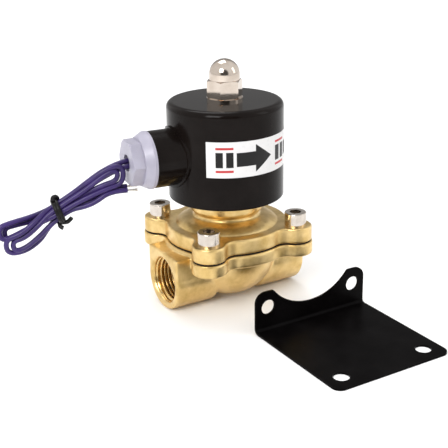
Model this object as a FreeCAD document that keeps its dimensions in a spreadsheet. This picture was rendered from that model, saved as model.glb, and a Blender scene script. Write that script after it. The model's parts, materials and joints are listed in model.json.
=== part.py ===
"""Solenoid valve with half-inch ports, its round coil and leads, and a loose angle bracket.

The ports lie along X, with the inlet at -X. Z is up, and the origin is the point under the stem axis
on the surface that the valve stands on. Lengths are millimetres and angles are degrees.
"""

import FreeCAD, Part
import math
import os
import Sketcher

DOC = FreeCAD.newDocument("SolenoidValve")
SHEET = DOC.addObject("Spreadsheet::Sheet", "Sizes")
VECTOR = FreeCAD.Vector
Z_AXIS = VECTOR(0, 0, 1)
Y_AXIS = VECTOR(0, 1, 0)
ORIGIN_POINT = (-1, 1)
VERTICAL_AXIS = -2


class Size:
    """A length or an angle: its value, and the sheet expression that gives it."""

    def __init__(self, value, text):
        self.value = value
        self.text = text

    def __add__(self, other):
        other = as_size(other)
        return Size(self.value + other.value, "(%s + %s)" % (self.text, other.text))

    def __sub__(self, other):
        other = as_size(other)
        return Size(self.value - other.value, "(%s - %s)" % (self.text, other.text))

    def __rsub__(self, other):
        return as_size(other) - self

    def __mul__(self, factor):
        return Size(self.value * factor, "(%s * %r)" % (self.text, factor))

    def __truediv__(self, factor):
        return Size(self.value / factor, "(%s / %r)" % (self.text, factor))

    __radd__ = __add__
    __rmul__ = __mul__


def as_size(value):
    """Returns a number as a Size, and a Size as it is."""
    return value if isinstance(value, Size) else Size(value, "(%r)" % value)


def driving(alias, value):
    """Writes a driving size to the sheet and returns it."""
    driving.row += 1
    SHEET.set("A%d" % driving.row, alias.replace("_", " "))
    SHEET.set("B%d" % driving.row, str(value))
    SHEET.setAlias("B%d" % driving.row, alias)
    return Size(value, "Sizes." + alias)


driving.row = 0

# ---------------------------------------------------------------- driving sizes

port_span = driving("port_span", 69.2)
port_diameter = driving("port_diameter", 27.6)
port_inner_end = driving("port_inner_end", 11.5)
port_rounding = driving("port_rounding", 2.4)
shoulder_inset = driving("shoulder_inset", 0.5)
shoulder_drop = driving("shoulder_drop", 1.7)
bore_diameter = driving("bore_diameter", 20.9)
bore_depth = driving("bore_depth", 14.5)
bore_mouth_margin = driving("bore_mouth_margin", 0.95)
bore_mouth_depth = driving("bore_mouth_depth", 1.1)
flow_diameter = driving("flow_diameter", 13.6)

screw_spacing = driving("screw_spacing", 46.0)
port_sink = driving("port_sink", 4.6)
body_flange_thickness = driving("body_flange_thickness", 6.1)
body_side_margin = driving("body_side_margin", 5.9)
body_lug_radius = driving("body_lug_radius", 8.0)
bonnet_plate_thickness = driving("bonnet_plate_thickness", 7.0)
bonnet_side_margin = driving("bonnet_side_margin", 5.3)
bonnet_lug_radius = driving("bonnet_lug_radius", 7.6)
lug_fillet = driving("lug_fillet", 6.0)
plate_edge_rounding = driving("plate_edge_rounding", 0.8)
rim_thickness = driving("rim_thickness", 0.6)
rim_inset = driving("rim_inset", 0.35)

bowl_base_height = driving("bowl_base_height", 3.2)
bowl_base_radius = driving("bowl_base_radius", 10.5)
bowl_shoulder_radius = driving("bowl_shoulder_radius", 22.6)
bowl_curve_radius = driving("bowl_curve_radius", 21.0)
chamber_radius = driving("chamber_radius", 18.4)
chamber_depth = driving("chamber_depth", 9.6)
seat_bore = driving("seat_bore", 16.0)
seat_wall = driving("seat_wall", 2.5)
seat_drop = driving("seat_drop", 4.1)
well_floor_height = driving("well_floor_height", 7.0)

dome_margin = driving("dome_margin", 0.3)
dome_step = driving("dome_step", 0.5)
dome_rise = driving("dome_rise", 3.2)
dome_curve_radius = driving("dome_curve_radius", 13.0)
neck_cove_radius = driving("neck_cove_radius", 1.9)
neck_radius = driving("neck_radius", 15.2)
neck_rise = driving("neck_rise", 5.7)
collar_radius = driving("collar_radius", 16.85)
collar_rise = driving("collar_rise", 13.1)
roof_rise = driving("roof_rise", 3.4)

screw_diameter = driving("screw_diameter", 6.0)
screw_head_diameter = driving("screw_head_diameter", 10.0)
screw_head_height = driving("screw_head_height", 6.0)
screw_length = driving("screw_length", 12.0)
screw_socket_flats = driving("screw_socket_flats", 5.0)
screw_socket_depth = driving("screw_socket_depth", 3.0)
screw_clearance = driving("screw_clearance", 0.2)

tube_diameter = driving("tube_diameter", 16.0)
tube_wall = driving("tube_wall", 0.7)
tube_fit = driving("tube_fit", 0.05)
foot_width = driving("foot_width", 3.0)
foot_thickness = driving("foot_thickness", 1.2)
foot_drop = driving("foot_drop", 10.4)
ring_section = driving("ring_section", 1.8)
retainer_height = driving("retainer_height", 3.0)
retainer_fit = driving("retainer_fit", 0.1)

plunger_fit = driving("plunger_fit", 0.08)
plunger_length = driving("plunger_length", 33.4)
plunger_travel = driving("plunger_travel", 4.0)
seal_radius = driving("seal_radius", 3.0)
seal_length = driving("seal_length", 4.1)
seal_reach = driving("seal_reach", 1.1)
spring_pocket_radius = driving("spring_pocket_radius", 4.2)
spring_pocket_depth = driving("spring_pocket_depth", 14.0)
spring_radius = driving("spring_radius", 3.3)
spring_wire = driving("spring_wire", 0.7)
spring_turns = driving("spring_turns", 8.0)
stop_pocket_depth = driving("stop_pocket_depth", 2.0)
tube_top_drop = driving("tube_top_drop", 6.0)
core_fit = driving("core_fit", 0.02)
running_gap = driving("running_gap", 0.05)

pad_radius = driving("pad_radius", 12.4)
pad_thickness = driving("pad_thickness", 1.6)
disc_radius = driving("disc_radius", 11.8)
disc_thickness = driving("disc_thickness", 1.2)
spool_stem_radius = driving("spool_stem_radius", 3.4)
spool_flange_thickness = driving("spool_flange_thickness", 1.7)
spool_clearance = driving("spool_clearance", 1.1)
pilot_radius = driving("pilot_radius", 0.9)
nozzle_height = driving("nozzle_height", 0.6)
clamp_nut_flats = driving("clamp_nut_flats", 10.0)
clamp_nut_height = driving("clamp_nut_height", 3.0)
web_thickness = driving("web_thickness", 1.1)
web_clearance = driving("web_clearance", 0.3)

coil_turn = driving("coil_turn", -6.7)
can_diameter = driving("can_diameter", 53.0)
can_height = driving("can_height", 44.2)
can_wall = driving("can_wall", 1.5)
can_top_rounding = driving("can_top_rounding", 2.8)
can_foot_rounding = driving("can_foot_rounding", 0.7)
coil_bore_clearance = driving("coil_bore_clearance", 0.4)
yoke_thickness = driving("yoke_thickness", 2.5)
yoke_recess = driving("yoke_recess", 0.4)
sleeve_wall = driving("sleeve_wall", 0.9)
sleeve_length = driving("sleeve_length", 18.0)
bobbin_wall = driving("bobbin_wall", 1.0)
bobbin_flange_radius = driving("bobbin_flange_radius", 21.5)
bobbin_flange_thickness = driving("bobbin_flange_thickness", 1.5)
winding_radius = driving("winding_radius", 20.8)

spigot_height = driving("spigot_height", 20.9)
spigot_radius = driving("spigot_radius", 12.8)
spigot_wall = driving("spigot_wall", 1.8)
spigot_reach = driving("spigot_reach", 37.4)
weld_ring_width = driving("weld_ring_width", 1.1)
weld_ring_height = driving("weld_ring_height", 0.9)
gland_flange_margin = driving("gland_flange_margin", 0.2)
gland_flange_thickness = driving("gland_flange_thickness", 4.9)
gland_rim_thickness = driving("gland_rim_thickness", 1.3)
gland_cone_radius = driving("gland_cone_radius", 11.0)
gland_flats = driving("gland_flats", 18.8)
gland_hex_length = driving("gland_hex_length", 4.5)
gland_nose_radius = driving("gland_nose_radius", 10.1)
gland_nose_length = driving("gland_nose_length", 0.7)
gland_hole_radius = driving("gland_hole_radius", 3.8)
gland_shank_length = driving("gland_shank_length", 6.5)
gland_shank_fit = driving("gland_shank_fit", 0.1)

label_height = driving("label_height", 16.0)
label_rise = driving("label_rise", 23.4)
label_thickness = driving("label_thickness", 0.15)
label_start = driving("label_start", -132.8)
label_sweep = driving("label_sweep", 143.5)

stud_diameter = driving("stud_diameter", 8.0)
stud_fit = driving("stud_fit", 0.1)
stud_reach = driving("stud_reach", 14.5)
washer_radius = driving("washer_radius", 8.2)
washer_thickness = driving("washer_thickness", 1.0)
cap_nut_flats = driving("cap_nut_flats", 14.3)
cap_nut_hex_height = driving("cap_nut_hex_height", 8.0)
cap_nut_height = driving("cap_nut_height", 17.2)
cap_nut_dome_radius = driving("cap_nut_dome_radius", 6.9)
cap_nut_turn = driving("cap_nut_turn", -14.2)

bracket_ear_margin = driving("bracket_ear_margin", 6.5)
bracket_depth = driving("bracket_depth", 59.4)
bracket_height = driving("bracket_height", 19.1)
bracket_thickness = driving("bracket_thickness", 1.0)
bracket_bend = driving("bracket_bend", 1.5)
bracket_hole_height = driving("bracket_hole_height", 11.6)
bracket_hole_diameter = driving("bracket_hole_diameter", 6.8)
bracket_notch_wall = driving("bracket_notch_wall", 3.7)
plate_hole_diameter = driving("plate_hole_diameter", 7.0)
plate_hole_spacing = driving("plate_hole_spacing", 43.0)
plate_hole_margin = driving("plate_hole_margin", 8.2)
plate_corner_radius = driving("plate_corner_radius", 4.0)
ear_corner_radius = driving("ear_corner_radius", 5.0)
bracket_side = driving("bracket_side", 45.1)
bracket_front = driving("bracket_front", 45.4)

lead_diameter = driving("lead_diameter", 2.3)
tip_diameter = driving("tip_diameter", 1.2)
tie_wire = driving("tie_wire", 1.3)

DOC.recompute()

# ---------------------------------------------------------------- sizes that follow from them

port_height = port_diameter / 2
port_face = port_span / 2
half_spacing = screw_spacing / 2
flange_bottom = port_diameter - port_sink
body_top = flange_bottom + body_flange_thickness
bonnet_base = body_top + rim_thickness
plate_top = bonnet_base + bonnet_plate_thickness
seat_height = body_top - seat_drop
seat_outer = seat_bore / 2 + seat_wall
coil_seat = plate_top + collar_rise

tube_outer = tube_diameter / 2
tube_inner = tube_outer - tube_wall
foot_radius = tube_outer + foot_width
foot_top = coil_seat - foot_drop
foot_bottom = foot_top - foot_thickness
pocket_radius = foot_radius + retainer_fit
retainer_bottom = foot_bottom - retainer_height

pad_bottom = seat_height + running_gap
pad_top = pad_bottom + pad_thickness
disc_top = pad_top + disc_thickness
clamp_nut_top = disc_top + clamp_nut_height
nozzle_top = clamp_nut_top + nozzle_height
seal_bottom = nozzle_top + running_gap
plunger_bottom = seal_bottom + seal_reach
plunger_top = plunger_bottom + plunger_length
plunger_radius = tube_inner - plunger_fit
spring_bottom = plunger_top - spring_pocket_depth
stop_bottom = plunger_top + plunger_travel + running_gap
spring_top = stop_bottom + stop_pocket_depth

can_radius = can_diameter / 2
can_top = coil_seat + can_height
can_inner = can_radius - can_wall
can_ceiling = can_top - can_wall
tube_top = can_ceiling - tube_top_drop
coil_bore = tube_outer + coil_bore_clearance
yoke_bottom = coil_seat + yoke_recess
yoke_top = yoke_bottom + yoke_thickness
sleeve_outer = coil_bore + sleeve_wall
bobbin_core = sleeve_outer + bobbin_wall
bobbin_top = can_ceiling - running_gap
spigot_level = coil_seat + spigot_height
spigot_bore = spigot_radius - spigot_wall
shank_radius = spigot_bore - gland_shank_fit
shank_start = spigot_reach - gland_shank_length
gland_flange_radius = spigot_radius + gland_flange_margin
gland_hex_start = spigot_reach + gland_flange_thickness
gland_nose_start = gland_hex_start + gland_hex_length
gland_face = gland_nose_start + gland_nose_length
washer_top = can_top + washer_thickness
cap_nut_top = washer_top + cap_nut_height
stud_radius = stud_diameter / 2
bracket_width = screw_spacing + bracket_ear_margin * 2
bracket_hole_radius = bracket_hole_diameter / 2
bracket_notch_radius = half_spacing * math.sqrt(2) - bracket_hole_radius - bracket_notch_wall

COIL_TURN = FreeCAD.Rotation(Z_AXIS, coil_turn.value)
TOWARD_INLET = FreeCAD.Rotation(Y_AXIS, -90)
TOWARD_OUTLET = FreeCAD.Rotation(Y_AXIS, 90)

# ---------------------------------------------------------------- ways of making a piece


def origin_plane(body, role):
    """Returns the origin plane of a body that has this role."""
    return next(plane for plane in body.Origin.OriginFeatures if plane.Role == role)


def new_body(name):
    return DOC.addObject("PartDesign::Body", name)


def new_sketch(body, role, height=None):
    """Adds a sketch on an origin plane of the body, raised by height."""
    sketch = body.newObject("Sketcher::SketchObject", body.Name + "_sketch")
    sketch.AttachmentSupport = [(origin_plane(body, role), "")]
    sketch.MapMode = "FlatFace"
    if height is not None:
        sketch.setExpression("AttachmentOffset.Base.z", height.text)
    return sketch


def bind_constraint(sketch, constraint, size):
    """Adds a constraint whose value follows the sheet."""
    index = sketch.addConstraint(constraint)
    sketch.setExpression("Constraints[%d]" % index, size.text)


def place_point(sketch, edge, vertex, x, y):
    """Fixes a point of the sketch at x, y."""
    for kind, size, axis in (("DistanceX", x, VERTICAL_AXIS), ("DistanceY", y, -1)):
        if size.value == 0:
            sketch.addConstraint(Sketcher.Constraint("PointOnObject", edge, vertex, axis))
        else:
            distance = Sketcher.Constraint(kind, *ORIGIN_POINT, edge, vertex, size.value)
            bind_constraint(sketch, distance, size)


def arc_between(start, end, radius):
    """Returns an arc from start to end, counterclockwise where radius is positive, and its vertices."""
    chord = end - start
    offset = math.sqrt(radius**2 - (chord.Length / 2) ** 2)
    side = VECTOR(-chord.y, chord.x, 0).normalize() * math.copysign(offset, radius)
    centre = (start + end) * 0.5 + side
    angles = [math.atan2(p.y - centre.y, p.x - centre.x) for p in (start, end)]
    circle = Part.Circle(centre, Z_AXIS, abs(radius))
    if radius > 0:
        return Part.ArcOfCircle(circle, angles[0], angles[1]), (1, 2)
    return Part.ArcOfCircle(circle, angles[1], angles[0]), (2, 1)


def draw_outline(sketch, points):
    """Draws a closed outline. A point is (x, y), or (x, y, radius, turn) where an arc of that radius
    leads to it, which turns left for a turn of 1 and right for -1."""
    corners = [VECTOR(as_size(p[0]).value, as_size(p[1]).value, 0) for p in points]
    ends = []
    for number, point in enumerate(points):
        start = corners[number - 1]
        end = corners[number]
        if len(point) == 4:
            edge, vertices = arc_between(start, end, point[2].value * point[3])
        else:
            edge = Part.LineSegment(start, end)
            vertices = (1, 2)
        sketch.addGeometry(edge, False)
        ends.append(vertices)
    for number, point in enumerate(points):
        after = (number + 1) % len(points)
        joint = Sketcher.Constraint("Coincident", number, ends[number][1], after, ends[after][0])
        sketch.addConstraint(joint)
        place_point(sketch, number, ends[number][1], as_size(point[0]), as_size(point[1]))
        if len(point) == 4:
            bind_constraint(sketch, Sketcher.Constraint("Radius", number, point[2].value), point[2])


def draw_circle(sketch, x, y, radius):
    """Draws a circle about x, y."""
    x = as_size(x)
    y = as_size(y)
    centre = VECTOR(x.value, y.value, 0)
    number = sketch.addGeometry(Part.Circle(centre, Z_AXIS, radius.value), False)
    place_point(sketch, number, 3, x, y)
    bind_constraint(sketch, Sketcher.Constraint("Radius", number, radius.value), radius)


def revolve(body, sketch, sweep=None):
    """Revolves a sketch about the body's Z axis, all the way or through sweep."""
    feature = body.newObject("PartDesign::Revolution", body.Name + "_revolution")
    feature.Profile = sketch
    feature.ReferenceAxis = (sketch, ["V_Axis"])
    feature.Angle = 360
    if sweep is not None:
        feature.setExpression("Angle", sweep.text)
    sketch.Visibility = False
    return feature


def pad(body, sketch, length):
    """Pads a sketch along its normal."""
    feature = body.newObject("PartDesign::Pad", body.Name + "_pad")
    feature.Profile = sketch
    feature.setExpression("Length", length.text)
    return feature


def pocket(body, sketch, depth=None, reverse=False):
    """Cuts a sketch out of the body, to a depth or right through."""
    feature = body.newObject("PartDesign::Pocket", body.Name + "_pocket")
    feature.Profile = sketch
    feature.Reversed = reverse
    if depth is None:
        feature.Type = "ThroughAll"
        feature.Midplane = True
    else:
        feature.setExpression("Length", depth.text)
    return feature


def polar(body, feature, axis_sketch, count):
    """Repeats a feature about the sketch's normal through the origin."""
    pattern = body.newObject("PartDesign::PolarPattern", body.Name + "_pattern")
    pattern.Originals = [feature]
    pattern.Axis = (axis_sketch, ["N_Axis"])
    pattern.Angle = 360
    pattern.Occurrences = count
    body.Tip = pattern
    return pattern


def round_edges(body, radius, wanted):
    """Rounds those edges of the body that wanted picks."""
    DOC.recompute()
    before = body.Tip
    names = ["Edge%d" % n for n, edge in enumerate(before.Shape.Edges, 1) if wanted(edge)]
    feature = body.newObject("PartDesign::Fillet", body.Name + "_fillet")
    feature.Base = (before, names)
    feature.setExpression("Radius", radius.text)
    body.Tip = feature
    return feature


def turned(name, points, rotation=None, height=None):
    """A solid of revolution about its own Z axis, from an outline of (radius, height) points."""
    body = new_body(name)
    sketch = new_sketch(body, "XZ_Plane")
    draw_outline(sketch, points)
    revolve(body, sketch)
    if rotation is not None:
        body.Placement = FreeCAD.Placement(VECTOR(), rotation)
    if height is not None:
        body.setExpression("Placement.Base.z", height.text)
    return body


def tube_section(inner, outer, bottom, top):
    """Outline of a plain ring or, with no inner radius, of a plain disc."""
    return [(inner, bottom), (outer, bottom), (outer, top), (inner, top)]


def hex_prism(name, flats, bottom, height, rotation=None):
    """A hexagonal prism on the Z axis with a flat toward +Y."""
    prism = DOC.addObject("Part::Prism", name)
    prism.Polygon = 6
    prism.setExpression("Circumradius", (flats / math.sqrt(3)).text)
    prism.setExpression("Height", height.text)
    prism.Placement = FreeCAD.Placement(VECTOR(), rotation or FreeCAD.Rotation())
    prism.setExpression("Placement.Base.z", bottom.text)
    return prism


def joined(name, pieces):
    """The union of pieces."""
    feature = DOC.addObject("Part::MultiFuse", name)
    feature.Shapes = pieces
    return feature


def shared(name, first, second):
    """What two pieces have in common."""
    feature = DOC.addObject("Part::Common", name)
    feature.Base = first
    feature.Tool = second
    return feature


def cut(name, base, tools):
    """The base with each tool cut out of it."""
    feature = DOC.addObject("Part::Cut", name)
    feature.Base = base
    feature.Tool = tools[0] if len(tools) == 1 else joined(name + "_tools", tools)
    return feature


def with_coil(feature):
    """Turns a piece of the coil about the stem axis with the rest of the coil."""
    feature.Placement = FreeCAD.Placement(VECTOR(), COIL_TURN)
    return feature


# ---------------------------------------------------------------- lugged plates


def is_lug_corner(plate_radius, lug_radius):
    """Picks the upright edges where the round plate meets its lugs."""
    lug = VECTOR(half_spacing.value, half_spacing.value, 0)

    def wanted(edge):
        middle = edge.CenterOfMass
        upright = len(edge.Vertexes) == 2 and edge.BoundBox.ZLength > 0.9 * edge.Length
        flat = VECTOR(middle.x, middle.y, 0)
        on_plate = abs(flat.Length - plate_radius.value) < 0.01
        folded = VECTOR(abs(middle.x), abs(middle.y), 0)
        on_lug = abs((folded - lug).Length - lug_radius.value) < 0.01
        return upright and on_plate and on_lug

    return wanted


def is_level(height):
    """Picks the outer edges that lie flat at a height."""

    def wanted(edge):
        box = edge.BoundBox
        return box.ZLength < 0.001 and abs(box.ZMin - height) < 0.001

    return wanted


def lugged_plate(name, bottom, thickness, plate_radius, lug_radius, rounded_level=None):
    """A round plate with four lugs at the bonnet screws, its inner corners filleted."""
    body = new_body(name)
    plate_sketch = new_sketch(body, "XY_Plane", bottom)
    draw_circle(plate_sketch, 0, 0, plate_radius)
    pad(body, plate_sketch, thickness)
    lug_sketch = new_sketch(body, "XY_Plane", bottom)
    draw_circle(lug_sketch, half_spacing, half_spacing, lug_radius)
    lug = pad(body, lug_sketch, thickness)
    polar(body, lug, plate_sketch, 4)
    round_edges(body, lug_fillet, is_lug_corner(plate_radius, lug_radius))
    if rounded_level is not None:
        round_edges(body, plate_edge_rounding, is_level(rounded_level.value))
    return body


def screw_holes(name, radius):
    """Four upright pins through both flanges, which cut the screw holes."""
    pins = []
    for x_side in (-1, 1):
        for y_side in (-1, 1):
            pin = DOC.addObject("Part::Cylinder", name)
            pin.setExpression("Radius", radius.text)
            pin.setExpression("Height", (coil_seat - well_floor_height).text)
            pin.setExpression("Placement.Base.x", (half_spacing * x_side).text)
            pin.setExpression("Placement.Base.y", (half_spacing * y_side).text)
            pin.setExpression("Placement.Base.z", well_floor_height.text)
            pins.append(pin)
    return pins


# ---------------------------------------------------------------- body


def port_blank(name, rotation):
    """The outside of one port, rounded where it meets the bowl."""
    outer = port_diameter / 2
    rim = 0.6
    points = [
        (0, port_inner_end),
        (outer - port_rounding, port_inner_end),
        (outer, port_inner_end + port_rounding, port_rounding, 1),
        (outer, port_face - rim),
        (outer - rim, port_face),
        (0, port_face),
    ]
    return turned(name, points, rotation, port_height)


def port_shoulder(name, side):
    """The straight walls that rise from a port's barrel to just below the top of the flange."""
    width = port_diameter - shoulder_inset * 2
    shoulder = DOC.addObject("Part::Box", name)
    shoulder.setExpression("Length", (port_face - port_inner_end - port_rounding).text)
    shoulder.setExpression("Width", width.text)
    shoulder.setExpression("Height", (body_top - shoulder_drop - port_height).text)
    corner = port_face * -1 if side < 0 else port_inner_end + port_rounding
    shoulder.setExpression("Placement.Base.x", corner.text)
    shoulder.setExpression("Placement.Base.y", (width / -2).text)
    shoulder.setExpression("Placement.Base.z", port_height.text)
    return shoulder


def port_bore(name, rotation):
    """The inside of one port: the threaded stretch at its root size, and a bevelled mouth."""
    bore = bore_diameter / 2
    mouth = bore + bore_mouth_margin
    past = port_face + bore_mouth_depth
    points = [
        (0, port_face - bore_depth),
        (bore, port_face - bore_depth),
        (bore, port_face - bore_mouth_depth),
        (mouth, port_face),
        (mouth, past),
        (0, past),
    ]
    return turned(name, points, rotation, port_height)


def flow_passage(name, rotation, start):
    """A round passage from start to the threaded stretch of a port."""
    section = tube_section(0, flow_diameter / 2, start, port_face - bore_depth + 1)
    return turned(name, section, rotation, port_height)


def make_valve_body():
    """Forged body: flange, bowl, two ports, and the seat in the middle of an annular chamber."""
    bowl_points = [
        (0, bowl_base_height),
        (bowl_base_radius, bowl_base_height),
        (bowl_shoulder_radius, flange_bottom + 1, bowl_curve_radius, 1),
        (0, flange_bottom + 1),
    ]
    flange = lugged_plate(
        "body_flange",
        flange_bottom,
        body_flange_thickness,
        half_spacing + body_side_margin,
        body_lug_radius,
        flange_bottom,
    )
    blank = joined(
        "body_blank",
        [
            flange,
            turned("body_bowl", bowl_points),
            port_blank("inlet_blank", TOWARD_INLET),
            port_blank("outlet_blank", TOWARD_OUTLET),
            port_shoulder("inlet_shoulder", -1),
            port_shoulder("outlet_shoulder", 1),
        ],
    )
    chamber_floor = body_top - chamber_depth
    above = body_top + 1
    chamber_points = [
        (seat_outer, chamber_floor),
        (chamber_radius, chamber_floor),
        (chamber_radius, above),
        (0, above),
        (0, seat_height),
        (seat_outer, seat_height),
    ]
    seat_well = turned("seat_well", tube_section(0, seat_bore / 2, well_floor_height, above))
    rise = DOC.addObject("Part::Box", "inlet_rise")
    rise_start = seat_outer + 0.4
    rise.setExpression("Length", (chamber_radius - rise_start).text)
    rise.setExpression("Width", flow_diameter.text)
    rise.setExpression("Height", (chamber_floor - port_height + 1).text)
    rise.setExpression("Placement.Base.x", (chamber_radius * -1).text)
    rise.setExpression("Placement.Base.y", (flow_diameter / -2).text)
    rise.setExpression("Placement.Base.z", port_height.text)
    tools = [
        turned("annular_chamber", chamber_points),
        seat_well,
        rise,
        port_bore("inlet_bore", TOWARD_INLET),
        port_bore("outlet_bore", TOWARD_OUTLET),
        flow_passage("inlet_passage", TOWARD_INLET, rise_start),
        flow_passage("outlet_passage", TOWARD_OUTLET, as_size(0)),
    ]
    tools += screw_holes("body_screw_hole", screw_diameter / 2)
    return cut("valve_body", blank, tools)


# ---------------------------------------------------------------- bonnet, rim and screws


def make_bonnet():
    """Forged cover: lugged plate, shallow dome, grooved neck, and the collar that the coil rests on."""
    shoulder = 1.2
    land = 1.3
    dome_radius = half_spacing + dome_margin
    dome_top = plate_top + dome_rise
    groove_top = plate_top + neck_rise
    collar_shoulder = coil_seat - 2.2
    collar_inset = collar_radius - 1.3
    dome_points = [
        (0, plate_top - 1),
        (dome_radius, plate_top - 1),
        (dome_radius, plate_top + dome_step),
        (neck_radius + shoulder, dome_top, dome_curve_radius, 1),
        (neck_radius, dome_top + shoulder, neck_cove_radius, -1),
        (neck_radius, groove_top),
        (collar_radius, groove_top + land, neck_cove_radius, 1),
        (collar_radius, collar_shoulder),
        (collar_inset, collar_shoulder + 0.6),
        (collar_inset, coil_seat),
        (0, coil_seat),
    ]
    plate = lugged_plate(
        "bonnet_plate",
        bonnet_base,
        bonnet_plate_thickness,
        half_spacing + bonnet_side_margin,
        bonnet_lug_radius,
        plate_top,
    )
    blank = joined("bonnet_blank", [plate, turned("bonnet_dome", dome_points)])
    ring_seat = foot_top + ring_section
    below = bonnet_base - 1
    roof = bonnet_base + roof_rise
    inside_points = [
        (0, below),
        (chamber_radius, below),
        (chamber_radius, roof - 0.8),
        (pocket_radius, roof),
        (pocket_radius, foot_top),
        (tube_outer + ring_section, foot_top),
        (tube_outer + ring_section, ring_seat),
        (tube_outer + tube_fit, ring_seat),
        (tube_outer + tube_fit, coil_seat + 1),
        (0, coil_seat + 1),
    ]
    tools = [turned("bonnet_inside", inside_points)]
    tools += screw_holes("bonnet_screw_hole", screw_diameter / 2 + screw_clearance)
    return cut("bonnet", blank, tools)


def make_diaphragm_rim():
    """The rim of the rubber diaphragm, clamped between the flanges."""
    plate = lugged_plate(
        "rim_plate",
        body_top,
        rim_thickness,
        half_spacing + bonnet_side_margin - rim_inset,
        bonnet_lug_radius - rim_inset,
    )
    middle = turned("rim_middle", tube_section(0, chamber_radius, body_top - 1, bonnet_base + 1))
    tools = [middle] + screw_holes("rim_screw_hole", screw_diameter / 2 + screw_clearance)
    return cut("diaphragm_rim", plate, tools)


def socket_screw(name, x_side, y_side, turn):
    """One socket-head cap screw in its hole."""
    head = screw_head_diameter / 2
    shank = screw_diameter / 2 - 0.05
    edge = 0.4
    head_top = plate_top + screw_head_height
    points = [
        (0, plate_top - screw_length),
        (shank - edge, plate_top - screw_length),
        (shank, plate_top - screw_length + edge),
        (shank, plate_top),
        (head, plate_top),
        (head, head_top - edge),
        (head - edge, head_top, as_size(edge), 1),
        (0, head_top),
    ]
    blank = turned(name + "_blank", points)
    socket_floor = head_top - screw_socket_depth
    socket = hex_prism(name + "_socket", screw_socket_flats, socket_floor, screw_socket_depth + 1)
    screw = cut(name, blank, [socket])
    screw.Placement = FreeCAD.Placement(VECTOR(), FreeCAD.Rotation(Z_AXIS, turn))
    screw.setExpression("Placement.Base.x", (half_spacing * x_side).text)
    screw.setExpression("Placement.Base.y", (half_spacing * y_side).text)
    return screw


def make_bonnet_screws():
    """The four bonnet screws, each turned as far as it was tightened."""
    places = ((-1, -1, 12), (1, -1, 41), (1, 1, 27), (-1, 1, 5))
    screws = DOC.addObject("Part::Compound", "bonnet_screws")
    screws.Links = [socket_screw("screw_%d" % n, *place) for n, place in enumerate(places, 1)]
    return screws


# ---------------------------------------------------------------- diaphragm's moving middle


def make_diaphragm_middle():
    """Pad, disc, spool and nut, which lift together, and the web that flexes round them."""
    web_inner = pad_radius + web_clearance
    web_outer = chamber_radius - 0.1
    web_top = body_top + rim_thickness / 2
    web_points = [
        (web_inner, pad_bottom + web_clearance),
        (web_outer, web_top - web_thickness),
        (web_outer, web_top),
        (web_inner, pad_bottom + web_clearance + web_thickness),
    ]
    spool_flange = seat_bore / 2 - spool_clearance
    spool_bottom = pad_bottom - spool_flange_thickness
    nozzle = pilot_radius + 0.8
    spool_points = [
        (pilot_radius, spool_bottom),
        (spool_flange, spool_bottom),
        (spool_flange, pad_bottom),
        (spool_stem_radius, pad_bottom),
        (spool_stem_radius, clamp_nut_top),
        (nozzle, nozzle_top),
        (pilot_radius, nozzle_top),
    ]
    nut_blank = hex_prism("clamp_nut_blank", clamp_nut_flats, disc_top, clamp_nut_height)
    nut_hole = turned("clamp_nut_hole", tube_section(0, spool_stem_radius, disc_top - 1, nozzle_top + 1))
    return [
        turned("diaphragm_web", web_points),
        turned("diaphragm_pad", tube_section(spool_stem_radius, pad_radius, pad_bottom, pad_top)),
        turned("diaphragm_disc", tube_section(spool_stem_radius, disc_radius, pad_top, disc_top)),
        turned("diaphragm_spool", spool_points),
        cut("diaphragm_nut", nut_blank, [nut_hole]),
    ]


# ---------------------------------------------------------------- tube, plunger and stop


def make_tube_parts():
    """The stainless tube with its foot, the seal ring on the foot, and the ring that holds it."""
    tube_points = [
        (tube_inner, foot_bottom),
        (foot_radius, foot_bottom),
        (foot_radius, foot_top),
        (tube_outer, foot_top),
        (tube_outer, tube_top),
        (tube_inner, tube_top),
    ]
    ring = DOC.addObject("Part::Torus", "tube_o_ring")
    ring.setExpression("Radius1", (tube_outer + ring_section / 2).text)
    ring.setExpression("Radius2", (ring_section / 2 - 0.02).text)
    ring.setExpression("Placement.Base.z", (foot_top + ring_section / 2).text)
    retainer = tube_section(tube_inner + 0.2, foot_radius, retainer_bottom, foot_bottom)
    return [
        turned("armature_tube", tube_points),
        ring,
        turned("tube_retainer", retainer),
    ]


def make_plunger_parts():
    """The moving iron, its rubber insert, and the return spring in its pocket."""
    bevel = 0.6
    plunger_points = [
        (0, seal_bottom + seal_length),
        (seal_radius, seal_bottom + seal_length),
        (seal_radius, plunger_bottom),
        (plunger_radius - bevel, plunger_bottom),
        (plunger_radius, plunger_bottom + bevel),
        (plunger_radius, plunger_top - bevel),
        (plunger_radius - bevel, plunger_top),
        (spring_pocket_radius, plunger_top),
        (spring_pocket_radius, spring_bottom),
        (0, spring_bottom),
    ]
    seal = tube_section(0, seal_radius, seal_bottom, seal_bottom + seal_length)
    wire = spring_wire / 2
    rise = spring_top - spring_bottom - spring_wire - 0.1
    path = DOC.addObject("Part::Helix", "spring_path")
    path.setExpression("Height", rise.text)
    path.setExpression("Pitch", "%s / %s" % (rise.text, spring_turns.text))
    path.setExpression("Radius", spring_radius.text)
    path.setExpression("Placement.Base.z", (spring_bottom + wire + 0.05).text)
    section = DOC.addObject("Part::Circle", "spring_section")
    section.setExpression("Radius", wire.text)
    section.Placement = FreeCAD.Placement(VECTOR(), FreeCAD.Rotation(VECTOR(1, 0, 0), 90))
    section.setExpression("Placement.Base.x", spring_radius.text)
    section.setExpression("Placement.Base.z", (spring_bottom + wire + 0.05).text)
    spring = DOC.addObject("Part::Sweep", "plunger_spring")
    spring.Sections = [section]
    spring.Spine = (path, [])
    spring.Solid = True
    spring.Frenet = True
    return [
        turned("plunger", plunger_points),
        turned("plunger_seal", seal),
        spring,
    ]


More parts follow.
